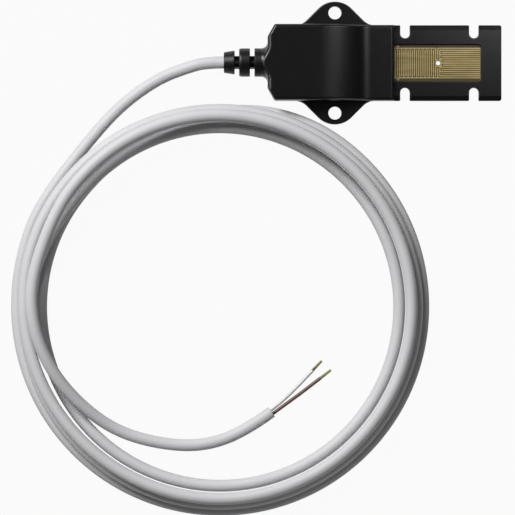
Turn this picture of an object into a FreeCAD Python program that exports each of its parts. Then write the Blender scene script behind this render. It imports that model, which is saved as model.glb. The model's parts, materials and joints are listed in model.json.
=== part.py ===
import FreeCAD, Part
import os
import re
from math import atan, cos, pi, radians, sin, sqrt, tan

import Sketcher

Vector = FreeCAD.Vector
same_place = 1e-4

# Driving dimensions of the sensor, in millimetres and degrees
driving = {
    # head, along X from the cord side to the comb side
    "boot_length": 14.8,
    "neck_length": 2.6,
    "body_length": 50.5,
    "plate_length": 42.9,
    "body_half_width": 15.1,
    "corner_length": 2.8,
    "corner_rise": 5.0,
    "corner_round": 1.2,
    "plate_corner_round": 0.8,
    "edge_round": 0.4,
    "plate_bevel": 1.9,
    "plate_bevel_drop": 0.9,
    # heights
    "base_height": 3.0,
    "floor_thickness": 1.0,
    "cover_height": 12.0,
    "front_rise": 2.5,
    "cover_wall": 1.5,
    "front_roof": 1.3,
    "left_edge_round": 1.8,
    # sloping roof of the cover
    "slope_share": 0.5624,
    "slope_run": 10.6,
    "slope_crest_round": 32.0,
    "slope_foot_round": 8.0,
    "slope_wall": 4.5,
    "slope_foot_wall": 2.5,
    # rim and seal between base and cover
    "seal_width": 0.8,
    "seal_height": 0.9,
    "seal_clearance": 0.05,
    "rim_width": 0.8,
    # screw ears
    "ear_place": 26.9,
    "ear_reach": 24.5,
    "ear_round": 9.4,
    "ear_root_round": 6.5,
    "ear_hole_place": 20.0,
    "ear_hole_radius": 2.6,
    # cable tie notches
    "first_notch_place": 4.4,
    "notch_pitch": 27.5,
    "notch_width": 3.8,
    "notch_depth": 5.2,
    "notch_mouth_round": 0.4,
    # sensing window and board
    "window_length": 34.6,
    "window_half_width": 7.35,
    "window_round": 1.5,
    "window_edge_round": 0.3,
    "slot_overlap": 3.9,
    "board_thickness": 1.0,
    "tongue_margin": 1.05,
    "board_side_gap": 0.7,
    "board_gap": 4.95,
    "board_clearance": 0.15,
    "hole_place": 17.7,
    "hole_radius": 0.9,
    "hole_shift": 0.2,
    "hole_ring": 0.6,
    "peg_radius": 0.9,
    "peg_inset": 2.2,
    "peg_rise": 0.6,
    # comb electrodes
    "comb_thickness": 0.1,
    "comb_edge": 0.1,
    "line_pitch": 0.846,
    "line_gap": 0.33,
    "rail_inset": 1.85,
    "comb_margin": 0.25,
    "bridge_half_height": 1.5,
    "spine_width": 0.5,
    "rail_end_overlap": 2.6,
    "rail_end_width": 0.9,
    "rivet_place": 1.54,
    "rivet_inset": 0.95,
    "rivet_radius": 0.35,
    "rivet_head_radius": 0.6,
    "rivet_head_height": 0.15,
    # boot
    "entry_radius": 2.15,
    "bore_clearance": 0.05,
    "boot_tip_radius": 4.1,
    "first_ring_radius": 4.8,
    "ring_lift": 0.35,
    "ring_lead_radius": 5.4,
    "ring_lead_length": 0.9,
    "first_ring_length": 4.3,
    "ring_length": 4.3,
    "groove_width": 1.8,
    "groove_radius": 2.6,
    "web_half_width": 2.2,
    "web_waist": 0.45,
    "web_radius": 4.3,
    "neck_radius": 3.4,
    "neck_clearance": 0.1,
    "flange_gap": 0.2,
    "flange_thickness": 1.4,
    "ring_edge_round": 0.3,
    # cable clamp inside
    "entry_run": 7.8,
    "clamp_gap": 2.6,
    "clamp_length": 3.6,
    "clamp_margin": 0.2,
    "saddle_half_width": 6.6,
    "saddle_drop": 0.8,
    "clamp_split": 0.2,
    "clamp_ear_height": 1.2,
    "clamp_arch_wall": 1.2,
    "clamp_screw_place": 4.9,
    "screw_radius": 0.9,
    "screw_clearance": 0.1,
    "screw_bite": 3.4,
    "screw_head_radius": 1.5,
    "screw_head_height": 1.0,
    "screw_slot_width": 0.4,
    "screw_slot_depth": 0.5,
    # inner cores
    "core_radius": 0.72,
    "joint_radius": 1.1,
    "joint_height": 1.5,
    "joint_along": 6.45,
    "joint_half_place": 3.8,
    # cord and its bare ends
    "cord_radius": 2.4,
    "conductor_radius": 0.5,
    "conductor_reach": 5.4,
    "core_half_pitch": 0.85,
    # coil: centre, and how the strand enters it and ends in it
    "coil_x": -56.9,
    "coil_y": -97.3,
    "coil_start_angle": 135.0,
    "coil_turns": 4,
    "entry_flare": 4.3,
    "entry_flare_angle": 47.0,
    "side_step_start": 90.0,
    "side_step_end": 180.0,
    "climb_start": 80.0,
    "climb_end": 135.0,
}

# Radius and height of the strand in each turn of the coil, the last one leads into the tail
turn_radii = [81.1, 71.5, 78.3, 76.0, 74.4]
turn_heights = [2.4, 2.4, 7.7, 12.9, 18.1]

# Parts on the board: place along the board and across from its middle line, then size
parts_on_board = {
    "comparator_chip": {"along": 20.5, "across": 0.0, "length": 4.9, "width": 3.9, "height": 1.5},
    "output_transistor": {"along": 14.5, "across": 6.2, "length": 6.5, "width": 3.5, "height": 1.6},
    "voltage_regulator": {"along": 9.0, "across": 7.0, "length": 2.9, "width": 1.3, "height": 1.1},
    "protection_diode": {"along": 8.5, "across": -0.4, "length": 4.3, "width": 2.6, "height": 2.1},
    "filter_capacitor": {"along": 12.5, "across": -6.4, "length": 5.3, "width": 5.3},
    "chip_resistors": {"along": 27.0, "across": 0.0, "length": 2.0, "width": 1.25, "height": 0.5},
    "chip_capacitors": {"along": 15.65, "across": 0.0, "length": 1.25, "width": 2.0, "height": 0.9},
}
for part_name, part_sizes in parts_on_board.items():
    for size_name, size in part_sizes.items():
        driving[f"{part_name}_{size_name}"] = size
driving.update({
    "leg_width": 0.4,
    "leg_thickness": 0.2,
    "leg_reach": 1.0,
    "leg_pitch": 1.27,
    "wide_leg_width": 0.7,
    "wide_leg_pitch": 2.3,
    "small_leg_pitch": 0.95,
    "tab_width": 3.0,
    "diode_tab_width": 1.4,
    "can_radius": 2.5,
    "can_height_share": 0.45,
    "can_base_height": 0.8,
    "resistor_pitch": 3.0,
    "capacitor_pitch": 2.4,
    "parts_run": 14.25,
})

# Places that follow from the driving dimensions
derived = {
    "cord_height": "cover_height / 2",
    "front_height": "base_height + front_rise",
    "ring_radius": "cord_height - ring_lift",
    "flange_radius": "cover_height - cover_wall - cord_height - flange_gap",
    "board_tongue_half_width": "window_half_width + tongue_margin",
    "comb_half_width": "window_half_width + comb_margin",
    "rail_half_place": "window_half_width - rail_inset",
    "rivet_half_place": "window_half_width - rivet_inset",
    "filter_capacitor_height": "cover_height * can_height_share",
    "head_half_length": "(boot_length + neck_length + body_length + plate_length) / 2",
    "neck_left": "boot_length - head_half_length",
    "neck_root_radius": "ring_radius + neck_length",
    "body_left": "neck_left + neck_length",
    "step_place": "body_left + body_length",
    "plate_right": "head_half_length",
    "corner_start": "body_half_width - corner_rise",
    "inner_left": "body_left + cover_wall",
    "rim_outer_inset": "cover_wall + seal_width + 2 * seal_clearance",
    "cavity_inset": "rim_outer_inset + rim_width",
    "slope_top": "body_left + slope_share * body_length",
    "slope_foot": "slope_top + slope_run",
    "ear_x": "body_left + ear_place",
    "ear_apex": "ear_reach + ear_round * (sqrt(2) - 1)",
    "notch_x": "step_place + first_notch_place",
    "notch_straight": "body_half_width - notch_depth + notch_width / 2",
    "window_right": "step_place + window_length",
    "slot_right": "window_right + slot_overlap",
    "board_top": "floor_thickness + board_thickness",
    "slot_roof": "board_top + board_clearance",
    "cavity_left": "body_left + cavity_inset",
    "cavity_right": "step_place - cavity_inset",
    "comb_top": "board_top + comb_thickness",
    "hole_x": "step_place + hole_place",
    "short_finger_x": "hole_x - hole_shift",
    "finger_width": "line_pitch - line_gap",
    "comb_left": "step_place + comb_edge",
    "comb_right": "window_right + rail_end_overlap",
    "bore_radius": "entry_radius + bore_clearance",
    "port_radius": "neck_radius + neck_clearance",
    "flange_left": "inner_left + neck_clearance",
    "flange_right": "flange_left + flange_thickness",
    "saddle_left": "flange_right + clamp_gap",
    "saddle_right": "saddle_left + clamp_length",
    "saddle_top": "cord_height - saddle_drop",
    "clamp_bottom": "saddle_top + clamp_split",
    "clamp_ear_top": "clamp_bottom + clamp_ear_height",
    "clamp_arch_radius": "entry_radius + bore_clearance + clamp_arch_wall",
    "clamp_middle": "(saddle_left + saddle_right) / 2",
    "entry_right": "flange_right + entry_run",
    "board_left": "saddle_right + board_gap",
    "board_half_width": "body_half_width - cavity_inset - board_side_gap",
    "parts_left": "slope_top - parts_run",
    "joint_x": "parts_left + joint_along",
    "rivet_x": "step_place + rivet_place",
}

document = FreeCAD.newDocument("CondensationSensor")
sheet = document.addObject("Spreadsheet::Sheet", "Sizes")
for row, (name, content) in enumerate([*driving.items(), *derived.items()], start=1):
    formula = content if isinstance(content, str) else None
    sheet.set(f"A{row}", name)
    sheet.set(f"B{row}", f"={formula}" if formula else str(content))
    sheet.setAlias(f"B{row}", name)
document.recompute()
aliases = {*driving, *derived}


def number(formula):
    """The value of a formula written with the names of the sheet."""
    result = sheet.evalExpression(formula)
    return float(getattr(result, "Value", result))


def bound(formula):
    """The same formula as another object of the document has to write it."""
    return re.sub(r"[a-z_]+", lambda word: f"Sizes.{word[0]}" if word[0] in aliases else word[0], formula)


# Sketches and PartDesign features

def new_body(name):
    body = document.addObject("PartDesign::Body", name)
    body.Label = name
    return body


def new_sketch(body, plane, height="0", sideways="0"):
    sketch = body.newObject("Sketcher::SketchObject", f"{body.Name}_sketch")
    support = [item for item in body.Origin.OriginFeatures if item.Role == plane][0]
    sketch.AttachmentSupport = (support, [""])
    sketch.MapMode = "FlatFace"
    sketch.setExpression("AttachmentOffset.Base.z", bound(height))
    sketch.setExpression("AttachmentOffset.Base.y", bound(sideways))
    return sketch


def bind_constraint(sketch, kind, formula, *places):
    index = sketch.addConstraint(Sketcher.Constraint(kind, *places, number(formula)))
    sketch.setExpression(f"Constraints[{index}]", bound(formula))


def draw_polygon(sketch, corners):
    first = sketch.GeometryCount
    points = [Vector(number(across), number(up)) for across, up in corners]
    for start, end in zip(points, points[1:] + points[:1]):
        sketch.addGeometry(Part.LineSegment(start, end))
    for place, (across, up) in enumerate(corners):
        line = first + place
        following = first + (place + 1) % len(corners)
        sketch.addConstraint(Sketcher.Constraint("Coincident", line, 2, following, 1))
        bind_constraint(sketch, "DistanceX", across, -1, 1, line, 1)
        bind_constraint(sketch, "DistanceY", up, -1, 1, line, 1)


def draw_box(sketch, left, right, bottom, top):
    draw_polygon(sketch, [(left, bottom), (right, bottom), (right, top), (left, top)])


def draw_circle(sketch, across, up, radius):
    centre = Vector(number(across), number(up))
    circle = sketch.addGeometry(Part.Circle(centre, Vector(0, 0, 1), number(radius)))
    bind_constraint(sketch, "DistanceX", across, -1, 1, circle, 3)
    bind_constraint(sketch, "DistanceY", up, -1, 1, circle, 3)
    bind_constraint(sketch, "Radius", radius, circle)


def extrude(body, kind, sketch, length, reverse=False, both_sides=False):
    before = 0 if body.Tip is None else body.Shape.Volume
    feature = body.newObject(f"PartDesign::{kind}", f"{body.Name}_{kind.lower()}")
    feature.Profile = sketch
    feature.setExpression("Length", bound(length))
    feature.Reversed = reverse
    if both_sides:
        feature.SideType = "Symmetric"
    sketch.Visibility = False
    document.recompute()
    change = body.Shape.Volume - before
    if change * (1 if kind == "Pad" else -1) <= 0:
        raise RuntimeError(f"{feature.Name} leaves the volume as it was: {change}")
    return feature


def round_edges(body, radius, wanted):
    base = body.Tip
    edges = [f"Edge{place}" for place, edge in enumerate(base.Shape.Edges, start=1) if wanted(edge)]
    if not edges:
        raise RuntimeError(f"{body.Name} has no edge to round with {radius}")
    fillet = body.newObject("PartDesign::Fillet", f"{body.Name}_fillet")
    fillet.Base = (base, edges)
    fillet.setExpression("Radius", bound(radius))
    document.recompute()


def near(first, second):
    return abs(first - second) < same_place


def upright_at(across, up):
    """Picks the upright edges that stand at a place and its mirror place in Y."""
    place_x, place_y = number(across), number(up)

    def wanted(edge):
        if len(edge.Vertexes) != 2:
            return False
        start, end = (vertex.Point for vertex in edge.Vertexes)
        stands = near(start.x, end.x) and near(start.y, end.y)
        return stands and near(start.x, place_x) and near(abs(start.y), abs(place_y))
    return wanted


# Plan outline of the body, drawn in from the outside by an inset

def inset_side(inset):
    return f"(body_half_width - {inset})"


def body_left_corners(inset):
    """The two corners of each left bevel, from the lower side to the upper side."""
    rise = f"(corner_start - {inset} * tan(atan(corner_length / corner_rise) / 2))"
    turn = "atan(corner_rise / corner_length) / 2"
    along = f"(body_left + corner_length + {inset} * tan({turn}))"
    left = f"(body_left + {inset})"
    side = inset_side(inset)
    return [(along, f"-{side}"), (left, f"-{rise}"), (left, rise), (along, side)]


def body_plan(inset, right):
    side = inset_side(inset)
    return [*body_left_corners(inset), (right, side), (right, f"-{side}")]


def neck_corners():
    """The block between the two left bevels that the neck is turned from."""
    return [
        ("body_left", "-neck_root_radius"),
        ("neck_left", "-neck_root_radius"),
        ("neck_left", "neck_root_radius"),
        ("body_left", "neck_root_radius"),
    ]


def turn_neck(body):
    """Turns the block down to a round neck that flares into the left wall."""
    sketch = new_sketch(body, "XZ_Plane", sideways="cord_height")
    outer = "(neck_root_radius + neck_length)"
    corners = [
        ("neck_left - neck_length", "ring_radius"), ("neck_left", "ring_radius"),
        ("body_left", "neck_root_radius"), ("body_left", outer), ("neck_left - neck_length", outer),
    ]
    points = [Vector(number(across), number(up)) for across, up in corners]
    flare_centre = Vector(number("neck_left"), number("neck_root_radius"))
    flare = Part.Circle(flare_centre, Vector(0, 0, 1), number("neck_length"))
    for place, (start, end) in enumerate(zip(points, points[1:] + points[:1])):
        if near(start.x, flare_centre.x):
            sketch.addGeometry(Part.ArcOfCircle(flare, -pi / 2, 0))
            bind_constraint(sketch, "Radius", "neck_length", place)
        else:
            sketch.addGeometry(Part.LineSegment(start, end))
    for place, (across, up) in enumerate(corners):
        sketch.addConstraint(Sketcher.Constraint("Coincident", place, 2, (place + 1) % len(corners), 1))
        bind_constraint(sketch, "DistanceX", across, -1, 1, place, 1)
        bind_constraint(sketch, "DistanceY", up, -1, 1, place, 1)
    turned = body.newObject("PartDesign::Groove", f"{body.Name}_neck")
    turned.Profile = sketch
    turned.ReferenceAxis = (sketch, ["H_Axis"])
    turned.Angle = 360
    sketch.Visibility = False
    document.recompute()


# Base: plate with ears, tie notches, window and the lower half of the cavity

def make_base():
    body = new_body("base_housing")
    lower_along, lower_left, upper_left, upper_along = body_left_corners("0")
    ear_foot = "(ear_apex - body_half_width)"
    outline = [
        lower_along, lower_left, *neck_corners(), upper_left, upper_along,
        (f"ear_x - {ear_foot}", "body_half_width"), ("ear_x", "ear_apex"),
        (f"ear_x + {ear_foot}", "body_half_width"),
        ("plate_right", "body_half_width"), ("plate_right", "-body_half_width"),
        (f"ear_x + {ear_foot}", "-body_half_width"), ("ear_x", "-ear_apex"),
        (f"ear_x - {ear_foot}", "-body_half_width"),
    ]
    sketch = new_sketch(body, "XY_Plane")
    draw_polygon(sketch, outline)
    extrude(body, "Pad", sketch, "base_height")
    round_edges(body, "ear_round", upright_at("ear_x", "ear_apex"))
    round_edges(body, "ear_root_round", upright_at(f"ear_x - {ear_foot}", "body_half_width"))
    round_edges(body, "ear_root_round", upright_at(f"ear_x + {ear_foot}", "body_half_width"))
    round_edges(body, "corner_round", upright_at("body_left", "corner_start"))
    round_edges(body, "corner_round", upright_at("body_left + corner_length", "body_half_width"))
    round_edges(body, "plate_corner_round", upright_at("plate_right", "body_half_width"))

    # Tie notches: straight sides, then a round bottom
    straight = new_sketch(body, "XY_Plane", "base_height")
    for place in range(2):
        middle = f"notch_x + {place} * notch_pitch"
        left, right = (f"{middle} - notch_width / 2", f"{middle} + notch_width / 2")
        draw_box(straight, left, right, "notch_straight", "body_half_width + notch_width")
        draw_box(straight, left, right, "-body_half_width - notch_width", "-notch_straight")
    extrude(body, "Pocket", straight, "base_height")
    bottom = new_sketch(body, "XY_Plane", "base_height")
    for place in range(2):
        for side in ("", "-"):
            draw_circle(bottom, f"notch_x + {place} * notch_pitch", f"{side}notch_straight", "notch_width / 2")
    extrude(body, "Pocket", bottom, "base_height")

    for place in range(2):
        for side in ("-", "+"):
            mouth = f"notch_x + {place} * notch_pitch {side} notch_width / 2"
            round_edges(body, "notch_mouth_round", upright_at(mouth, "body_half_width"))

    def middle_of(edge):
        return edge.valueAt((edge.FirstParameter + edge.LastParameter) / 2)

    def outer_top(edge):
        return near(middle_of(edge).z, number("base_height"))
    round_edges(body, "edge_round", outer_top)
    turn_neck(body)

    # Long sides of the plate, bevelled in front of the cover
    bevels = new_sketch(body, "YZ_Plane", "plate_right")
    above = "base_height + plate_bevel_drop"
    for side in ("", "-"):
        draw_polygon(bevels, [
            (f"{side}(body_half_width - plate_bevel)", "base_height"),
            (f"{side}(body_half_width + plate_bevel)", "base_height - 2 * plate_bevel_drop"),
            (f"{side}(body_half_width + plate_bevel)", above),
            (f"{side}(body_half_width - plate_bevel)", above),
        ])
    extrude(body, "Pocket", bevels, "plate_length")

    # Screw holes, window, board slot and cavity
    holes = new_sketch(body, "XY_Plane", "base_height")
    draw_circle(holes, "ear_x", "ear_hole_place", "ear_hole_radius")
    draw_circle(holes, "ear_x", "-ear_hole_place", "ear_hole_radius")
    draw_circle(holes, "hole_x", "0", "hole_radius")
    extrude(body, "Pocket", holes, "base_height")
    window = new_sketch(body, "XY_Plane", "base_height")
    draw_box(window, "step_place", "window_right", "-window_half_width", "window_half_width")
    extrude(body, "Pocket", window, "base_height - board_top")
    round_edges(body, "window_round", upright_at("window_right", "window_half_width"))

    def window_edge(edge):
        middle = middle_of(edge)
        along = number("step_place") + same_place < middle.x < number("window_right") + same_place
        return along and outer_top(edge) and abs(middle.y) < number("window_half_width") + same_place
    round_edges(body, "window_edge_round", window_edge)
    slot = new_sketch(body, "YZ_Plane", "slot_right")
    slot_side = "(board_tongue_half_width + board_clearance)"
    draw_box(slot, f"-{slot_side}", slot_side, "floor_thickness", "slot_roof")
    extrude(body, "Pocket", slot, "slot_right - cavity_right + seal_clearance")
    cavity = new_sketch(body, "XY_Plane", "base_height")
    draw_polygon(cavity, body_plan("cavity_inset", "cavity_right"))
    extrude(body, "Pocket", cavity, "base_height - floor_thickness")

    # Rim that carries the seal
    rim = new_sketch(body, "XY_Plane", "base_height")
    draw_polygon(rim, body_plan("rim_outer_inset", "step_place - rim_outer_inset"))
    draw_polygon(rim, body_plan("cavity_inset", "cavity_right"))
    extrude(body, "Pad", rim, "seal_height")

    # Saddle under the cord, with its trough and screw pilots
    saddle = new_sketch(body, "XY_Plane", "floor_thickness")
    draw_box(saddle, "saddle_left", "saddle_right", "-saddle_half_width", "saddle_half_width")
    extrude(body, "Pad", saddle, "saddle_top - floor_thickness")
    trough = new_sketch(body, "YZ_Plane", "saddle_right")
    draw_circle(trough, "0", "cord_height", "bore_radius")
    extrude(body, "Pocket", trough, "clamp_length")
    pilots = new_sketch(body, "XY_Plane", "saddle_top")
    for side in ("", "-"):
        draw_circle(pilots, "clamp_middle", f"{side}clamp_screw_place", "screw_radius + seal_clearance")
    extrude(body, "Pocket", pilots, "screw_bite + screw_clearance")

    # Pegs that hold the board
    pegs = new_sketch(body, "XY_Plane", "floor_thickness")
    for side in ("", "-"):
        draw_circle(pegs, "board_left + peg_inset", f"{side}(board_half_width - peg_inset)", "peg_radius")
    extrude(body, "Pad", pegs, "board_thickness + peg_rise")

    # Port of the boot through neck and wall, with the room of its flange
    port = new_sketch(body, "YZ_Plane", "cavity_left")
    draw_circle(port, "0", "cord_height", "port_radius")
    extrude(body, "Pocket", port, "cavity_left - neck_left")
    room = new_sketch(body, "YZ_Plane", "cavity_left")
    draw_circle(room, "0", "cord_height", "flange_radius + neck_clearance")
    extrude(body, "Pocket", room, "cavity_left - inner_left")
    return body


# Cover: high over the electronics, sloping to a thin front

def make_cover():
    body = new_body("top_cover")
    lower_along, lower_left, upper_left, upper_along = body_left_corners("0")
    outline = [
        lower_along, lower_left, *neck_corners(), upper_left, upper_along,
        ("step_place", "body_half_width"), ("step_place", "-body_half_width"),
    ]
    sketch = new_sketch(body, "XY_Plane", "base_height")
    draw_polygon(sketch, outline)
    extrude(body, "Pad", sketch, "cover_height - base_height")

    # Sloping roof
    roof = new_sketch(body, "XZ_Plane")
    draw_polygon(roof, [
        ("slope_top", "cover_height"), ("slope_foot", "front_height"),
        ("step_place + cover_wall", "front_height"), ("step_place + cover_wall", "cover_height + cover_wall"),
        ("slope_top", "cover_height + cover_wall"),
    ])
    extrude(body, "Pocket", roof, "2 * body_half_width + cover_wall", both_sides=True)

    def ends_of(edge):
        return [vertex.Point for vertex in edge.Vertexes]

    def across_at(place, height):
        def wanted(edge):
            ends = ends_of(edge)
            across = len(ends) == 2 and not near(ends[0].y, ends[1].y)
            return across and all(near(end.x, number(place)) and near(end.z, number(height)) for end in ends)
        return wanted
    round_edges(body, "slope_crest_round", across_at("slope_top", "cover_height"))
    round_edges(body, "slope_foot_round", across_at("slope_foot", "front_height"))
    turn_neck(body)

    # Left rim of the top, which runs on round the neck
    def left_rim(edge):
        edge_ends = ends_of(edge)
        limit = number("body_left") + same_place
        return all(near(end.z, number("cover_height")) and end.x < limit for end in edge_ends)
    round_edges(body, "left_edge_round", left_rim)

    # Upright corners, and the rim along bevels, sides and front
    left_corner = upright_at("body_left", "corner_start")
    side_corner = upright_at("body_left + corner_length", "body_half_width")
    front_rim = across_at("step_place", "front_height")

    def outer_rim(edge):
        edge_ends = ends_of(edge)
        if len(edge_ends) != 2 or any(end.z < number("base_height") + same_place for end in edge_ends):
            return False
        at_side = [near(abs(end.y), number("body_half_width")) for end in edge_ends]
        along_side = all(at_side) and near(edge_ends[0].y, edge_ends[1].y)
        on_bevel = any(at_side) and not all(at_side)
        return along_side or on_bevel
    round_edges(body, "corner_round", lambda edge: left_corner(edge) or side_corner(edge) or front_rim(edge)
                or outer_rim(edge))

    # Cavity: full height over the board, then under the slope and the front
    high = new_sketch(body, "XY_Plane", "base_height")
    draw_polygon(high, body_plan("cover_wall", "slope_top - slope_wall"))
    extrude(body, "Pocket", high, "cover_height - cover_wall - base_height", reverse=True)
    low = new_sketch(body, "XZ_Plane")
    draw_polygon(low, [
        ("slope_top - slope_wall", "base_height"),
        ("slope_top - slope_wall", "cover_height - cover_wall"),
        ("slope_foot - slope_foot_wall", "front_height - front_roof"),
        ("step_place - cover_wall", "front_height - front_roof"),
        ("step_place - cover_wall", "base_height"),
    ])
    extrude(body, "Pocket", low, f"2 * {inset_side('cover_wall')}", both_sides=True)
    port = new_sketch(body, "YZ_Plane", "inner_left")
    draw_circle(port, "0", "cord_height", "port_radius")
    extrude(body, "Pocket", port, "neck_length + cover_wall")
    return body


def make_seal():
    body = new_body("cover_seal")
    sketch = new_sketch(body, "XY_Plane", "base_height")
    outer = "(cover_wall + seal_clearance)"
    inner = "(rim_outer_inset - seal_clearance)"
    draw_polygon(sketch, body_plan(outer, f"step_place - {outer}"))
    draw_polygon(sketch, body_plan(inner, f"step_place - {inner}"))
    extrude(body, "Pad", sketch, "seal_height")
    room = new_sketch(body, "YZ_Plane", "flange_right")
    draw_circle(room, "0", "cord_height", "flange_radius + neck_clearance")
    extrude(body, "Pocket", room, "flange_right - inner_left")
    return body


# Board with its tongue under the window

def make_board():
    body = new_body("sensor_board")
    sketch = new_sketch(body, "XY_Plane", "floor_thickness")
    shoulder = "(cavity_right - board_clearance)"
    tip = "(slot_right - board_clearance)"
    draw_polygon(sketch, [
        ("board_left", "-board_half_width"), (shoulder, "-board_half_width"),
        (shoulder, "-board_tongue_half_width"), (tip, "-board_tongue_half_width"),
        (tip, "board_tongue_half_width"), (shoulder, "board_tongue_half_width"),
        (shoulder, "board_half_width"), ("board_left", "board_half_width"),
    ])
    draw_circle(sketch, "hole_x", "0", "hole_radius")
    for side in ("", "-"):
        peg_y = f"{side}(board_half_width - peg_inset)"
        draw_circle(sketch, "board_left + peg_inset", peg_y, "peg_radius + seal_clearance")
        draw_circle(sketch, "rivet_x", f"{side}rivet_half_place", "rivet_radius + seal_clearance")
    extrude(body, "Pad", sketch, "board_thickness")
    return body


# Boot: three rings, two open grooves with webs, neck and inner flange

def make_boot():
    body = new_body("strain_relief")
    sketch = new_sketch(body, "XZ_Plane", sideways="cord_height")
    tip = "(-head_half_length)"
    first_end = f"({tip} + first_ring_length)"
    second_start = f"({first_end} + groove_width)"
    second_end = f"({second_start} + ring_length)"
    third_start = f"({second_end} + groove_width)"
    draw_polygon(sketch, [
        (tip, "bore_radius"), (tip, "boot_tip_radius"), (first_end, "first_ring_radius"),
        (first_end, "groove_radius"), (second_start, "groove_radius"),
        (second_start, "ring_lead_radius"), (f"{second_start} + ring_lead_length", "ring_radius"),
        (second_end, "ring_radius"), (second_end, "groove_radius"), (third_start, "groove_radius"),
        (third_start, "ring_radius"), ("neck_left", "ring_radius"), ("neck_left", "neck_radius"),
        ("flange_left", "neck_radius"), ("flange_left", "flange_radius"),
        ("flange_right", "flange_radius"), ("flange_right", "bore_radius"),
    ])
    turn = body.newObject("PartDesign::Revolution", "strain_relief_turned")
    turn.Profile = sketch
    turn.ReferenceAxis = (sketch, ["H_Axis"])
    turn.Angle = 360
    document.recompute()

    lead = number(f"{second_start} + ring_lead_length")

    def ring_rim(edge):
        if not isinstance(edge.Curve, Part.Circle):
            return False
        place = edge.Curve.Center.x
        on_boot = place < number("neck_left") - same_place and not near(place, lead)
        return on_boot and edge.Curve.Radius > number("groove_radius") + same_place
    round_edges(body, "ring_edge_round", ring_rim)

    # Webs above and below the core bridge the grooves, waisted by round cuts
    webs = new_sketch(body, "XY_Plane", "cord_height - web_radius")
    for start in (first_end, second_end):
        draw_box(webs, start, f"{start} + groove_width", "-web_half_width", "web_half_width")
    extrude(body, "Pad", webs, "2 * web_radius")
    waists = new_sketch(body, "XY_Plane", "cord_height + web_radius")
    for start in (first_end, second_end):
        for side in ("", "-"):
            middle = f"{side}(web_waist + groove_width / 2)"
            draw_circle(waists, f"{start} + groove_width / 2", middle, "groove_width / 2 - seal_clearance")
    extrude(body, "Pocket", waists, "web_radius - groove_radius")
    lower = new_sketch(body, "XY_Plane", "cord_height - groove_radius")
    for start in (first_end, second_end):
        for side in ("", "-"):
            middle = f"{side}(web_waist + groove_width / 2)"
            draw_circle(lower, f"{start} + groove_width / 2", middle, "groove_width / 2 - seal_clearance")
    extrude(body, "Pocket", lower, "web_radius - groove_radius")
    bore = new_sketch(body, "YZ_Plane", "flange_right")
    draw_circle(bore, "0", "cord_height", "bore_radius")
    extrude(body, "Pocket", bore, "flange_right + head_half_length")
    return body


# Part primitives whose sizes and places are bound to the sheet

def new_box(name, left, right, front, back, bottom, top):
    box = document.addObject("Part::Box", name)
    for size, low, high in (("Length", left, right), ("Width", front, back), ("Height", bottom, top)):
        box.setExpression(size, bound(f"({high}) - ({low})"))
    for axis, low in (("x", left), ("y", front), ("z", bottom)):
        box.setExpression(f"Placement.Base.{axis}", bound(low))
    return box


def new_cylinder(name, place, radius, length, along_x=False):
    cylinder = document.addObject("Part::Cylinder", name)
    cylinder.setExpression("Radius", bound(radius))
    cylinder.setExpression("Height", bound(length))
    if along_x:
        cylinder.Placement.Rotation = FreeCAD.Rotation(Vector(0, 1, 0), 90)
    for axis, formula in zip("xyz", place):
        cylinder.setExpression(f"Placement.Base.{axis}", bound(formula))
    return cylinder


def new_cone(name, place, lower_radius, upper_radius, height):
    cone = document.addObject("Part::Cone", name)
    cone.setExpression("Radius1", bound(lower_radius))
    cone.setExpression("Radius2", bound(upper_radius))
    cone.setExpression("Height", bound(height))
    for axis, formula in zip("xyz", place):
        cone.setExpression(f"Placement.Base.{axis}", bound(formula))
    return cone


def fuse(name, pieces):
    joined = document.addObject("Part::MultiFuse", name)
    joined.Shapes = pieces
    joined.Refine = True
    return joined


def group(name, pieces):
    together = document.addObject("Part::Compound", name)
    together.Links = pieces
    return together


def cut(name, base, tools):
    tool = tools[0] if len(tools) == 1 else fuse(f"{name}_tools", tools)
    result = document.addObject("Part::Cut", name)
    result.Base = base
    result.Tool = tool
    return result


# Comb: two electrodes whose fingers lie between each other, a thin gap apart

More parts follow.
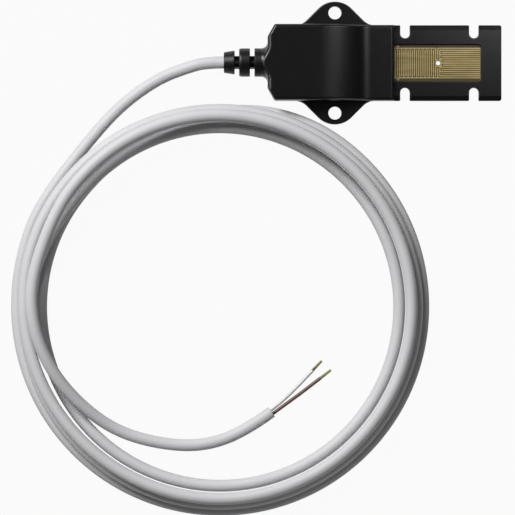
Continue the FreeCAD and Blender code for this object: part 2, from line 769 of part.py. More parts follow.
def make_electrodes():
    low, high = ("board_top", "comb_top")
    half_gap = "line_gap / 2"
    last_finger = "(short_finger_x - line_pitch)"

    def plate(name, left, right, front, back):
        return new_box(name, left, right, front, back, low, high)

    # Left electrode: upper rail, fingers down, bridge round the hole, spine and fingers to the right
    rail_inner = f"(rail_half_place + {half_gap})"
    finger_end = f"(rail_half_place - {half_gap})"
    bridge_left = f"({last_finger} + finger_width / 2)"
    spine_left = f"(short_finger_x + line_pitch / 2 + {half_gap})"
    spine_right = f"({spine_left} + spine_width)"
    ring_right = "(hole_x + hole_radius + hole_ring)"
    split = "(short_finger_x - line_pitch / 2)"
    left_parts = [
        plate("left_rail", "comb_left", f"{split} - {half_gap}", rail_inner, "comb_half_width"),
        plate("left_bridge", bridge_left, ring_right, "-bridge_half_height", "bridge_half_height"),
        plate("left_spine", spine_left, spine_right, f"-{finger_end}", finger_end),
    ]
    right_parts = [
        plate("right_lower_rail", "comb_left", "comb_right", "-comb_half_width", f"-{rail_inner}"),
        plate("right_upper_rail", f"{split} + {half_gap}", "comb_right", rail_inner, "comb_half_width"),
        plate("right_rail", "comb_right - rail_end_width", "comb_right", "-comb_half_width", "comb_half_width"),
    ]
    pairs = int((number(last_finger) - number("comb_left")) / number("2 * line_pitch")) + 1
    for place in range(pairs):
        middle = f"({last_finger} - {2 * place} * line_pitch)"
        left_parts.append(plate(f"left_finger_{place}", f"{middle} - finger_width / 2",
                                f"{middle} + finger_width / 2", f"-{finger_end}", f"{rail_inner} + {half_gap}"))
        middle = f"({last_finger} - {2 * place + 1} * line_pitch)"
        if number(f"{middle} - finger_width / 2") > number("comb_left"):
            right_parts.append(plate(f"right_finger_{place}", f"{middle} - finger_width / 2",
                                     f"{middle} + finger_width / 2", f"-{rail_inner} - {half_gap}", finger_end))
    # Narrow fingers of the right electrode end above and below the hole
    half_finger = "finger_width / 2"
    short_end = "(bridge_half_height + line_gap)"
    short_left, short_right = (f"short_finger_x - {half_finger}", f"short_finger_x + {half_finger}")
    right_parts.append(plate("right_short_lower", short_left, short_right, f"-{rail_inner} - {half_gap}",
                             f"-{short_end}"))
    right_parts.append(plate("right_short_upper", short_left, short_right, short_end,
                             f"{rail_inner} + {half_gap}"))
    # Long fingers on the right half, in turn from the spine and from the right rail, shorter beside the hole
    strips = int(number("2 * rail_half_place") / number("line_pitch"))
    for place in range(strips):
        middle = f"(({place} - {(strips - 1) / 2}) * line_pitch)"
        front, back = (f"{middle} - {half_finger}", f"{middle} + {half_finger}")
        if place % 2 == 0:
            left_parts.append(plate(f"left_strip_{place}", f"{spine_right} - {half_gap}",
                                    "comb_right - rail_end_width - line_gap", front, back))
        else:
            root = ring_right if abs(number(middle)) < number("bridge_half_height") else spine_right
            right_parts.append(plate(f"right_strip_{place}", f"{root} + line_gap",
                                     "comb_right - rail_end_width / 2", front, back))
    hole = new_cylinder("comb_hole", ("hole_x", "0", "board_top - comb_thickness"), "hole_radius + line_gap / 2",
                        "3 * comb_thickness")
    rivet_holes = []
    for name, side in (("upper", ""), ("lower", "-")):
        where = ("rivet_x", f"{side}rivet_half_place", "board_top - comb_thickness")
        rivet_holes.append(new_cylinder(f"comb_rivet_hole_{name}", where, "rivet_radius + seal_clearance",
                                        "3 * comb_thickness"))
    left = cut("electrode_comb_left", fuse("left_comb_plain", left_parts), [hole, rivet_holes[0]])
    right = cut("electrode_comb_right", fuse("right_comb_plain", right_parts), rivet_holes[1:])
    return [left, right]


def make_rivets():
    rivets = []
    for place, side in enumerate(("", "-")):
        where = ("rivet_x", f"{side}rivet_half_place", "floor_thickness")
        pin = new_cylinder(f"rivet_pin_{place}", where, "rivet_radius", "comb_top - floor_thickness")
        head = new_cylinder(f"rivet_head_{place}", (where[0], where[1], "comb_top"), "rivet_head_radius",
                            "rivet_head_height")
        rivets.append(fuse(f"rivet_{place}", [pin, head]))
    return group("comb_rivets", rivets)


# Cable clamp over the saddle, with its two screws

def make_clamp():
    left, right = ("saddle_left + clamp_margin", "saddle_right - clamp_margin")
    length = "clamp_length - 2 * clamp_margin"
    ears = new_box("clamp_ears", left, right, "-saddle_half_width + clamp_margin",
                   "saddle_half_width - clamp_margin", "clamp_bottom", "clamp_ear_top")
    arch = new_cylinder("clamp_arch", (left, "0", "cord_height"), "clamp_arch_radius", length, along_x=True)
    low = new_box("clamp_low", "saddle_left", "saddle_right", "-clamp_arch_radius", "clamp_arch_radius",
                  "cord_height - clamp_arch_radius", "clamp_bottom")
    upper_arch = cut("clamp_upper_arch", arch, [low])
    throat = new_cylinder("clamp_throat", ("saddle_left", "0", "cord_height"), "bore_radius", "clamp_length",
                          along_x=True)
    tools = [throat]
    for place, side in enumerate(("", "-")):
        where = ("clamp_middle", f"{side}clamp_screw_place", "clamp_bottom - clamp_split")
        tools.append(new_cylinder(f"clamp_hole_{place}", where, "screw_radius + screw_clearance",
                                  "clamp_ear_height + 2 * clamp_split"))
    return cut("cable_clamp", fuse("clamp_plain", [ears, upper_arch]), tools)


def make_clamp_screws():
    screws = []
    for place, side in enumerate(("", "-")):
        across = f"{side}clamp_screw_place"
        shank = new_cylinder(f"screw_shank_{place}", ("clamp_middle", across, "saddle_top - screw_bite"),
                             "screw_radius", "clamp_ear_top - saddle_top + screw_bite")
        head = new_cylinder(f"screw_head_{place}", ("clamp_middle", across, "clamp_ear_top"),
                            "screw_head_radius", "screw_head_height")
        slot = new_box(f"screw_slot_{place}", "clamp_middle - 2 * screw_head_radius",
                       "clamp_middle + 2 * screw_head_radius", f"{across} - screw_slot_width / 2",
                       f"{across} + screw_slot_width / 2", "clamp_ear_top + screw_head_height - screw_slot_depth",
                       "clamp_ear_top + screw_head_height + screw_slot_depth")
        screws.append(cut(f"clamp_screw_{place}", fuse(f"screw_plain_{place}", [shank, head]), [slot]))
    return group("clamp_screws", screws)


# Electronics on the board

def part_box(name, label, height="0"):
    middle_x = f"(parts_left + {name}_along)"
    middle_y = f"{name}_across"
    return new_box(label, f"{middle_x} - {name}_length / 2", f"{middle_x} + {name}_length / 2",
                   f"{middle_y} - {name}_width / 2", f"{middle_y} + {name}_width / 2",
                   f"board_top + {height}", f"board_top + {name}_height")


def legs(name, side, count, pitch, width):
    """A row of legs that stand out from one long side of a part and lie on the board."""
    pieces = []
    for place in range(count):
        middle = f"(parts_left + {name}_along + ({place} - {(count - 1) / 2}) * {pitch})"
        inner = f"{name}_across + {side} * ({name}_width / 2 - leg_thickness)"
        outer = f"{name}_across + {side} * ({name}_width / 2 + leg_reach)"
        front, back = (inner, outer) if side > 0 else (outer, inner)
        pieces.append(new_box(f"{name}_leg_{side + 1}_{place}", f"{middle} - {width} / 2",
                              f"{middle} + {width} / 2", front, back, "board_top", "board_top + leg_thickness"))
    return pieces


def make_electronics():
    body = part_box("comparator_chip", "comparator_body")
    pins = legs("comparator_chip", 1, 4, "leg_pitch", "leg_width") + legs("comparator_chip", -1, 4, "leg_pitch",
                                                                           "leg_width")
    comparator = fuse("comparator_chip", [body, *pins])
    body = part_box("output_transistor", "transistor_body")
    pins = legs("output_transistor", -1, 3, "wide_leg_pitch", "wide_leg_width")
    tab = legs("output_transistor", 1, 1, "wide_leg_pitch", "tab_width")
    transistor = fuse("output_transistor", [body, *pins, *tab])
    body = part_box("voltage_regulator", "regulator_body")
    pins = legs("voltage_regulator", -1, 2, "2 * small_leg_pitch", "leg_width")
    pin = legs("voltage_regulator", 1, 1, "small_leg_pitch", "leg_width")
    regulator = fuse("voltage_regulator", [body, *pins, *pin])
    body = part_box("protection_diode", "diode_body")
    tabs = legs("protection_diode", 1, 1, "leg_pitch", "diode_tab_width") + legs("protection_diode", -1, 1,
                                                                               "leg_pitch", "diode_tab_width")
    diode = fuse("protection_diode", [body, *tabs])
    foot = new_box("capacitor_foot", "parts_left + filter_capacitor_along - filter_capacitor_length / 2",
                   "parts_left + filter_capacitor_along + filter_capacitor_length / 2",
                   "filter_capacitor_across - filter_capacitor_width / 2",
                   "filter_capacitor_across + filter_capacitor_width / 2", "board_top",
                   "board_top + can_base_height")
    can = new_cylinder("capacitor_can", ("parts_left + filter_capacitor_along", "filter_capacitor_across",
                                         "board_top"), "can_radius", "filter_capacitor_height")
    capacitor = fuse("filter_capacitor", [foot, can])
    groups = []
    for name, count, pitch in (("chip_resistors", 6, "resistor_pitch"), ("chip_capacitors", 3, "capacitor_pitch")):
        pieces = []
        for place in range(count):
            piece = part_box(name, f"{name}_{place}")
            shift = f"({place} - {(count - 1) / 2}) * {pitch}"
            piece.setExpression("Placement.Base.y", bound(f"{name}_across - {name}_width / 2 + {shift}"))
            pieces.append(piece)
        groups.append(group(name, pieces))
    joints = []
    for place, side in enumerate(("", "-")):
        joints.append(new_cone(f"joint_{place}", ("joint_x", f"{side}joint_half_place", "board_top"),
                               "joint_radius", "joint_radius / 2", "joint_height"))
    return [comparator, transistor, regulator, diode, capacitor, *groups, group("solder_joints", joints)]


# Round tubes along a route: tangent arcs, with a share of each run left straight between them

straight_share = 0.1
volume_tolerance = 0.01


def unit(vector):
    return vector * (1 / vector.Length)


def route_edges(points, name):
    """Lines and tangent arcs along the points, with each arc as large as its two runs allow."""
    edges = []
    radii = []
    start = points[0]
    for before, corner, after in zip(points, points[1:], points[2:]):
        into = unit(corner - before)
        out = unit(after - corner)
        half_turn = into.getAngle(out) / 2
        setback = (1 - straight_share) / 2 * min((corner - before).Length, (after - corner).Length)
        radius = setback / tan(half_turn)
        arc_start = corner - into * setback
        arc_end = corner + out * setback
        arc_middle = corner + unit(out - into) * (radius / cos(half_turn) - radius)
        edges.append(Part.LineSegment(start, arc_start).toShape())
        edges.append(Part.Arc(arc_start, arc_middle, arc_end).toShape())
        radii.append(round(radius, 1))
        start = arc_end
    edges.append(Part.LineSegment(start, points[-1]).toShape())
    print(name, "bend radii", radii)
    return edges


def new_tube(name, edges, radius):
    path = Part.Wire(edges)
    first = edges[0].valueAt(edges[0].FirstParameter)
    profile = Part.Wire([Part.Circle(first, edges[0].tangentAt(edges[0].FirstParameter), radius).toShape()])
    shape = path.makePipeShell([profile], True, False)
    expected = pi * radius ** 2 * path.Length
    print(name, "length", round(path.Length, 1), "volume", round(shape.Volume, 1), "of", round(expected, 1))
    if abs(shape.Volume / expected - 1) > volume_tolerance:
        raise RuntimeError(f"{name} has the wrong volume")
    tube = document.addObject("Part::Feature", name)
    tube.Shape = shape
    return tube


# Coil: radius and height of the strand by the angle along the winding, in degrees

coil_centre = Vector(driving["coil_x"], driving["coil_y"], 0)
direction_step = 0.5
gap_points = 1600


def smooth_step(share):
    share = min(max(share, 0), 1)
    return share * share * (3 - 2 * share)


def strand_level(angle, levels, step_start, step_end):
    """The level of the turn at this angle, stepping to the next turn's in a part of each turn."""
    turn = int(angle // 360)
    if turn == 0:
        return levels[0]
    share = (angle % 360 - driving[step_start]) / (driving[step_end] - driving[step_start])
    return levels[turn - 1] + (levels[turn] - levels[turn - 1]) * smooth_step(share)


def strand_point(angle):
    radius = strand_level(angle, turn_radii, "side_step_start", "side_step_end")
    height = strand_level(angle, turn_heights, "climb_start", "climb_end")
    entering = 1 - (angle - driving["coil_start_angle"]) / driving["entry_flare_angle"]
    radius += driving["entry_flare"] * max(entering, 0) ** 2
    return coil_centre + Vector(radius * cos(radians(angle)), radius * sin(radians(angle)), height)


def strand_direction(angle):
    return unit(strand_point(angle + direction_step) - strand_point(angle - direction_step))


def biarc_edges(start, start_direction, end, end_direction):
    """Two arcs that leave one point and reach the other in the given directions."""
    span = end - start
    both = start_direction + end_direction
    spread = 2 * (1 - start_direction.dot(end_direction))
    reach = (sqrt(span.dot(both) ** 2 + spread * span.dot(span)) - span.dot(both)) / spread
    first_corner = start + start_direction * reach
    second_corner = end - end_direction * reach
    middle = (first_corner + second_corner) / 2
    edges = []
    for arc_start, corner, arc_end in ((start, first_corner, middle), (middle, second_corner, end)):
        chord_middle = (arc_start + arc_end) / 2
        half_turn = (corner - arc_start).getAngle(arc_end - arc_start)
        rise = (arc_end - arc_start).Length / 2 * tan(half_turn / 2)
        crown = chord_middle + unit(corner - chord_middle) * rise
        edges.append(Part.Arc(arc_start, crown, arc_end).toShape())
    return edges


def coil_end_angle():
    return driving["coil_start_angle"] + 360 * driving["coil_turns"]


def coil_edges():
    start_angle = driving["coil_start_angle"]
    straight = 2 * driving["cord_radius"]
    quarter_turns = int(4 * driving["coil_turns"])
    start = strand_point(start_angle)
    edges = [Part.LineSegment(start - strand_direction(start_angle) * straight, start).toShape()]
    for quarter in range(quarter_turns):
        from_angle = start_angle + 90 * quarter
        to_angle = from_angle + 90
        edges += biarc_edges(strand_point(from_angle), strand_direction(from_angle),
                             strand_point(to_angle), strand_direction(to_angle))
    end = strand_point(coil_end_angle())
    edges.append(Part.LineSegment(end, end + strand_direction(coil_end_angle()) * straight).toShape())
    return edges


def least_gap(edges, diameter):
    """Least free space between parts of the tube that lie half a turn or more apart along it."""
    points = Part.Wire(edges).discretize(Number=gap_points)
    step = (points[1] - points[0]).Length
    apart = int(pi * turn_radii[1] / step)
    least = min((first - second).Length
                for place, first in enumerate(points) for second in points[place + apart:])
    return least - diameter


# Routes of the free stretches, chosen by hand along the cord in the picture
exit_point = Vector(-number("head_half_length"), 0, number("cord_height"))
lead_route = [(-62.4, 0, exit_point.z), (-69.6, -1.85, 5.7), (-81.5, -6.2, 3.4), (-95, -15.6, 2.4)]
lead_last_run = 10
tail_first_run = 9
tail_route = [
    (-127.8, -68.6, 18.1), (-131.9, -87.2, 18.1), (-130.6, -106.4, 17.6), (-123.6, -122.9, 13.8),
    (-112.6, -136.3, 8.4), (-99, -146.6, 3.6), (-82.6, -151.8, 2.4), (-64.5, -153.2, 2.4),
    (-47.8, -147.6, 2.4), (-36.4, -139.3, 2.4),
]
white_route = [(-26.5, -129.6, 1.5), (-22.9, -125.8, 0.85), (-20, -122.8, 0.85)]
brown_route = [(-24.6, -131.8, 1.4), (-20.3, -128.5, 0.85), (-16.9, -125.9, 0.85)]
core_first_run = 5


def make_cord():
    radius = driving["cord_radius"]
    straight = 2 * radius
    start_angle = driving["coil_start_angle"]
    coil_start = strand_point(start_angle) - strand_direction(start_angle) * straight
    coil_end = strand_point(coil_end_angle()) + strand_direction(coil_end_angle()) * straight
    lead_points = [exit_point, *[Vector(*point) for point in lead_route]]
    lead_points.append(coil_start - strand_direction(start_angle) * lead_last_run)
    lead_points.append(coil_start)
    tail_points = [coil_end, coil_end + strand_direction(coil_end_angle()) * tail_first_run]
    tail_points += [Vector(*point) for point in tail_route]
    coil = coil_edges()
    gap = least_gap(coil, 2 * radius)
    coil_radii = [round(edge.Curve.Radius, 1) for edge in coil[1:-1]]
    print("coil gap to itself", round(gap, 2), "bend radii", min(coil_radii), "to", max(coil_radii))
    tubes = [
        new_tube("cord_lead", route_edges(lead_points, "cord_lead"), radius),
        new_tube("cord_coil", coil, radius),
        new_tube("cord_tail", route_edges(tail_points, "cord_tail"), radius),
    ]
    # Bare end: two cores side by side, each with its stripped conductor
    along = unit(tail_points[-1] - tail_points[-2])
    across = Vector(-along.y, along.x, 0) * driving["core_half_pitch"]
    for name, side, route in (("white", 1, white_route), ("brown", -1, brown_route)):
        start = tail_points[-1] + across * side
        points = [start, start + along * core_first_run, *[Vector(*point) for point in route]]
        core_edges = route_edges(points, f"core_{name}_end")
        tubes.append(new_tube(f"core_{name}_end", core_edges, driving["core_radius"]))
        heading = points[-1] - points[-2]
        onward = unit(Vector(heading.x, heading.y, 0)) * driving["conductor_reach"]
        strand = Part.LineSegment(points[-1], points[-1] + onward).toShape()
        tubes.append(new_tube(f"conductor_{name}_end", [strand], driving["conductor_radius"]))
    return tubes


def make_inner_cores():
    """The two cores from the end of the jacket to their solder joints on the board."""
    cores = []
    height = number("cord_height")
    start_x = number("entry_right")
    joint = Vector(number("joint_x - joint_radius - seal_clearance"), number("joint_half_place"),
                   number("board_top + joint_height / 2"))
    for name, side in (("white", 1), ("brown", -1)):
        start = Vector(start_x, side * driving["core_half_pitch"], height)
        end = Vector(joint.x, side * joint.y, joint.z)
        out = Vector(start_x + (end.x - start_x) / 3, start.y, height)
        down = Vector(end.x - (end.x - start_x) / 3, end.y, end.z)
        points = [start, out, down, end]
        core = new_tube(f"inner_core_{name}", route_edges(points, f"inner_core_{name}"), driving["core_radius"])
        cores.append(core)
    return cores


def make_cord_entry():
    return new_cylinder("cord_entry", ("-head_half_length", "0", "cord_height"), "entry_radius",
                        "entry_right + head_half_length", along_x=True)


nodes = [make_base(), make_cover(), make_seal(), make_board(), make_boot()]
nodes += make_electrodes()
nodes += [make_rivets(), make_clamp(), make_clamp_screws(), make_cord_entry()]
nodes += make_inner_cores()
nodes += make_electronics()
nodes += make_cord()
document.recompute()

# Check everything before any file is written
for item in document.Objects:
    if {"Invalid", "Error"} & set(item.State):
        raise RuntimeError(f"{item.Name} failed: {item.State}")
for node in nodes:
    if node.Shape.isNull() or not node.Shape.isValid() or not node.Shape.Solids:
        raise RuntimeError(f"{node.Name} has no valid shape")

os.makedirs("parts", exist_ok=True)
for node in nodes:
    node.Label = node.Name
    node.Shape.exportStep(f"parts/{node.Label}.step")
    print(node.Label, "solids", len(node.Shape.Solids), "volume", round(node.Shape.Volume, 1))
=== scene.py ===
import bpy
import json
import math
import random
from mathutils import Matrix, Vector


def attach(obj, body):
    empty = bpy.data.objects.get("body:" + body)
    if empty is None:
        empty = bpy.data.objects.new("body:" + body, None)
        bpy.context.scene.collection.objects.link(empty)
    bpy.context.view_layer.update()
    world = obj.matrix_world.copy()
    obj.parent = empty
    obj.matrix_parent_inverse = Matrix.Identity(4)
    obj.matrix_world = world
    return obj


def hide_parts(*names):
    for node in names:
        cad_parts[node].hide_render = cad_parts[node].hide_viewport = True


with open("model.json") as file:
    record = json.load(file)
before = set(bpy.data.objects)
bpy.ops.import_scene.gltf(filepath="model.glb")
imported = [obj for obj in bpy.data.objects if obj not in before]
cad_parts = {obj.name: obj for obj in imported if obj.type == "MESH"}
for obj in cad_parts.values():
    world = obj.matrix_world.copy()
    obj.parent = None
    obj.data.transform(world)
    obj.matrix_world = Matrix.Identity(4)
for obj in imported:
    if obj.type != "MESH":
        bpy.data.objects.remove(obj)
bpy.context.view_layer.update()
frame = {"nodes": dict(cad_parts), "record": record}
nodes = frame["nodes"]
scene = bpy.context.scene
scene.view_settings.view_transform = "Standard"
mm = 0.001
print("frame loaded:", len(nodes), "nodes")


# Colours are written as sRGB hex and turned to linear here
def linearColour(hexColour):
    channels = [int(hexColour[place:place + 2], 16) / 255 for place in (1, 3, 5)]
    linear = [share / 12.92 if share <= 0.04045 else ((share + 0.055) / 1.055) ** 2.4 for share in channels]
    return (*linear, 1.0)


# Adds one shader node with its settings, and links its inputs to other nodes' outputs
def addNode(tree, kind, links=None, inputs=None, **settings):
    node = tree.nodes.new(kind)
    for name, value in settings.items():
        setattr(node, name, value)
    for name, value in (inputs or {}).items():
        node.inputs[name].default_value = value
    for name, source in (links or {}).items():
        tree.links.new(source, node.inputs[name])
    return node


# Starts a material from its finish. Returns the material, its tree, its shader and the object's own
# coordinates. Each finish has two shades, between which its colour wanders.
def startMaterial(name, finish):
    material = bpy.data.materials.new(name)
    material.use_nodes = True
    tree = material.node_tree
    shader = tree.nodes["Principled BSDF"]
    shader.inputs["Base Color"].default_value = linearColour(finish["colour"])
    shader.inputs["Roughness"].default_value = finish["roughness"]
    shader.inputs["Metallic"].default_value = finish.get("metallic", 0.0)
    shader.inputs["IOR"].default_value = finish.get("ior", 1.5)
    place = addNode(tree, "ShaderNodeTexCoord")
    return material, tree, shader, place.outputs["Object"]


# Noise whose blotches are about sizeMm across
def addNoise(tree, place, sizeMm, detail=2.0):
    noise = addNode(tree, "ShaderNodeTexNoise", {"Vector": place},
                    {"Scale": 1 / (sizeMm * mm), "Detail": detail})
    return noise.outputs["Fac"]


def mixColours(tree, factor, firstHex, secondHex):
    mix = addNode(tree, "ShaderNodeMix", {"Factor": factor}, data_type="RGBA")
    mix.inputs["A"].default_value = linearColour(firstHex)
    mix.inputs["B"].default_value = linearColour(secondHex)
    return mix.outputs["Result"]


def mixShades(tree, place, finish):
    return mixColours(tree, addNoise(tree, place, finish["blotchMm"]), *finish["shades"])


def remap(tree, value, low, high):
    node = addNode(tree, "ShaderNodeMapRange", {"Value": value}, {"To Min": low, "To Max": high})
    return node.outputs["Result"]


def addBump(tree, shader, height, depthMm, strength):
    bump = addNode(tree, "ShaderNodeBump", {"Height": height},
                   {"Distance": depthMm * mm, "Strength": strength})
    tree.links.new(bump.outputs["Normal"], shader.inputs["Normal"])


def addGrain(tree, shader, place, finish):
    addBump(tree, shader, addNoise(tree, place, finish["grainMm"]), finish["grainDepthMm"],
            finish["grainStrength"])


# Camera: straight above the middle of the picture, far away with a long lens, in mm
cameraSettings = {
    "middle": (-42.0, -77.65),
    "height": 1400.0,
    "width": 206.0,
    "sensor": 36.0,
    "reach": 10000.0,
}


def makeCamera(settings):
    data = bpy.data.cameras.new("camera")
    data.sensor_width = settings["sensor"]
    data.lens = settings["sensor"] * settings["height"] / settings["width"]
    data.clip_end = settings["reach"] * mm
    camera = bpy.data.objects.new("camera", data)
    camera.location = Vector((*settings["middle"], settings["height"])) * mm
    scene.collection.objects.link(camera)
    scene.camera = camera
    print("camera ready: lens", round(data.lens, 1), "mm")


makeCamera(cameraSettings)


# Smooth round lines: the spline's order, and its steps along each stretch and round it
lineSettings = {"order": 3, "alongSteps": 8, "roundSteps": 7}


def makeLine(name, points, radius):
    curve = bpy.data.curves.new(name, "CURVE")
    curve.dimensions = "3D"
    spline = curve.splines.new("NURBS")
    spline.points.add(len(points) - 1)
    for point, place in zip(spline.points, points):
        point.co = (*(Vector(place) * mm), 1)
    spline.order_u = lineSettings["order"]
    spline.use_endpoint_u = True
    spline.resolution_u = lineSettings["alongSteps"]
    curve.bevel_depth = radius * mm
    curve.bevel_resolution = lineSettings["roundSteps"]
    curve.use_fill_caps = True
    piece = bpy.data.objects.new(name, curve)
    scene.collection.objects.link(piece)
    return piece


# Cord: one smooth line from the boot through the coil to the bare end, in mm and degrees. Side steps and
# climbs are the stretch of each turn in which it goes over to the next turn's radius and height. Some lie
# off those of the CAD's tube, so that the coil's inner edge is round and the lead meets the coil.
cordSettings = {
    "radius": 2.4,
    "lead": [(-55.4, 0, 6), (-62.4, 0, 6), (-69.6, -1.85, 5.7), (-81.5, -6.2, 3.4), (-95, -15.6, 2.4),
             (-106.3, -27.2, 2.4)],
    "tail": [(-131.9, -87.2, 18.1), (-130.6, -106.4, 17.6), (-123.6, -122.9, 13.8),
             (-112.6, -136.3, 8.4), (-99, -146.6, 3.6), (-82.6, -151.8, 2.4), (-64.5, -153.2, 2.4),
             (-47.8, -147.6, 2.4), (-36.4, -139.3, 2.4)],
    "centre": (-56.9, -97.3),
    "startAngle": 135,
    "turns": 4,
    "turnRadii": [81.1, 71.5, 78.3, 76.0, 74.4],
    "turnHeights": [2.4, 2.4, 7.7, 12.9, 18.1],
    "sideSteps": [(60, 135), (135, 200), (150, 240), (90, 180)],
    "climbs": [(80, 135), (50, 100), (80, 135), (80, 135)],
    "entryFlare": 2.7,
    "entryFlareAngle": 42,
    "pointsPerTurn": 24,
}
jacketFinish = {
    "colour": "#dcdcde",
    "shades": ("#d8d8da", "#e0e0e2"),
    "blotchMm": 9.0,
    "roughness": 0.55,
    "ior": 1.5,
    "grainMm": 2.5,
    "grainDepthMm": 0.008,
    "grainStrength": 0.3,
}


def smoothStep(share):
    share = min(max(share, 0), 1)
    return share * share * (3 - 2 * share)


def turnLevel(angle, levels, stretches):
    turn = int(angle // 360)
    if turn == 0:
        return levels[0]
    start, end = stretches[turn - 1]
    share = smoothStep((angle % 360 - start) / (end - start))
    return levels[turn - 1] + (levels[turn] - levels[turn - 1]) * share


def coilPoint(settings, angle):
    halfStep = math.radians(180 / settings["pointsPerTurn"])
    entering = max(1 - (angle - settings["startAngle"]) / settings["entryFlareAngle"], 0)
    radius = turnLevel(angle, settings["turnRadii"], settings["sideSteps"])
    radius += settings["entryFlare"] * entering ** 2
    radius /= math.cos(halfStep)  # the smooth line runs inside its control points
    turned = math.radians(angle)
    x = settings["centre"][0] + radius * math.cos(turned)
    y = settings["centre"][1] + radius * math.sin(turned)
    return (x, y, turnLevel(angle, settings["turnHeights"], settings["climbs"]))


# PVC jacket, extruded: light grey and satin, its smooth drawn skin barely wavy
def makeJacketMaterial(finish):
    material, tree, shader, place = startMaterial("extruded grey PVC", finish)
    tree.links.new(mixShades(tree, place, finish), shader.inputs["Base Color"])
    addGrain(tree, shader, place, finish)
    return material


def makeCord(settings, jacket):
    stepAngle = 360 / settings["pointsPerTurn"]
    count = settings["turns"] * settings["pointsPerTurn"]
    coil = [coilPoint(settings, settings["startAngle"] + stepAngle * place) for place in range(1, count + 2)]
    piece = makeLine("greyLead", settings["lead"] + coil + settings["tail"], settings["radius"])
    piece.data.materials.append(jacket)
    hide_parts("cord_lead", "cord_coil", "cord_tail")
    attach(piece, "root")
    print("cord laid:", len(piece.data.splines[0].points), "points")
    return piece


jacketMaterial = makeJacketMaterial(jacketFinish)
lead = makeCord(cordSettings, jacketMaterial)


# Bare end, in mm: a white and a brown core, each with seven twisted strands. The strands start inside the
# core, draw together towards the tip and are cut a little unevenly.
bareEndSettings = {
    "coreRadius": 0.72,
    "strandRadius": 0.22,
    "strandCount": 7,
    "strandSteps": 16,
    "strandRoundSteps": 3,
    "strandInside": 0.6,
    "strandTaper": 0.35,
    "shortestStrand": 0.93,
    "twistPitch": 6.0,
    "white": [(-36.9, -138.61, 2.4), (-32.86, -135.66, 2.4), (-26.5, -129.6, 1.5), (-22.9, -125.8, 0.85),
              (-20, -122.8, 0.85)],
    "whiteTip": (-16.3, -118.9, 0.85),
    "brown": [(-35.9, -139.99, 2.4), (-31.86, -137.04, 2.4), (-24.6, -131.8, 1.4), (-20.3, -128.5, 0.85),
              (-16.9, -125.9, 0.85)],
    "brownTip": (-12.6, -122.6, 0.85),
}
coreFinish = {
    "roughness": 0.35,
    "ior": 1.53,
    "blotchMm": 3.0,
    # Painted shade where the core leaves the cut jacket: its near-black colour, and the distances in mm at
    # which it starts to fade and is gone
    "rootShadeColour": "#0b0908",
    "rootShadeFadeMm": 0.2,
    "grainMm": 1.6,
    "grainDepthMm": 0.006,
    "grainStrength": 0.3,
}
whiteFinish = {**coreFinish, "colour": "#efefef", "shades": ("#efefef", "#e6e6e6"), "rootShadeMm": 0.5}
brownFinish = {**coreFinish, "colour": "#6e5248", "shades": ("#6e5248", "#5e443b"), "rootShadeMm": 1.3}
strandFinish = {
    "colour": "#8f8d5c",
    "shades": ("#6f6e45", "#a8a674"),
    "blotchMm": 0.6,
    "roughness": 0.42,
    "metallic": 0.85,
}


# PVC core insulation, extruded: thinner and glossier than the jacket, with painted shade where it leaves the
# cut jacket, where its colour goes near black
def makeCoreMaterial(name, finish, root):
    material, tree, shader, place = startMaterial(name, finish)
    plain = mixShades(tree, place, finish)
    # Painted shade: close to its root in the jacket's mouth, the core's colour fades to near black
    away = addNode(tree, "ShaderNodeVectorMath", {0: place}, {1: Vector(root) * mm}, operation="DISTANCE")
    clear = addNode(tree, "ShaderNodeMapRange", {"Value": away.outputs["Value"]},
                    {"From Min": finish["rootShadeMm"] * mm,
                     "From Max": (finish["rootShadeMm"] + finish["rootShadeFadeMm"]) * mm})
    dark = addNode(tree, "ShaderNodeMix", {"Factor": clear.outputs["Result"], "B": plain}, data_type="RGBA")
    dark.inputs["A"].default_value = linearColour(finish["rootShadeColour"])
    tree.links.new(dark.outputs["Result"], shader.inputs["Base Color"])
    addGrain(tree, shader, place, finish)
    return material


# Copper, drawn and annealed: twisted strands, slightly tarnished to a yellow green
def makeStrandMaterial(finish):
    material, tree, shader, place = startMaterial("twisted copper strands", finish)
    tree.links.new(mixShades(tree, place, finish), shader.inputs["Base Color"])
    return material


def makeStrands(name, start, tip, settings):
    start = Vector(start)
    tip = Vector(tip)
    along = (tip - start).normalized()
    side = along.cross(Vector((0, 0, 1))).normalized()
    up = side.cross(along)
    curve = bpy.data.curves.new(name, "CURVE")
    curve.dimensions = "3D"
    curve.bevel_depth = settings["strandRadius"] * mm
    curve.bevel_resolution = settings["strandRoundSteps"]
    curve.use_fill_caps = True
    length = (tip - start).length
    steps = settings["strandSteps"]
    inside = settings["strandInside"]
    chooser = random.Random(name)
    for strand in range(settings["strandCount"]):
        spread = 0 if strand == 0 else settings["strandRadius"] * 2
        phase = strand * math.tau / (settings["strandCount"] - 1)
        reach = length * chooser.uniform(settings["shortestStrand"], 1.0)
        spline = curve.splines.new("POLY")
        spline.points.add(steps)
        for step, point in enumerate(spline.points):
            share = step / steps
            turn = phase + math.tau * reach * share / settings["twistPitch"]
            taper = 1 - settings["strandTaper"] * share
            offset = (side * math.cos(turn) + up * math.sin(turn)) * spread * taper
            place = start - along * inside + along * (reach + inside) * share + offset
            point.co = (*(place * mm), 1)
    piece = bpy.data.objects.new(name, curve)
    scene.collection.objects.link(piece)
    return piece


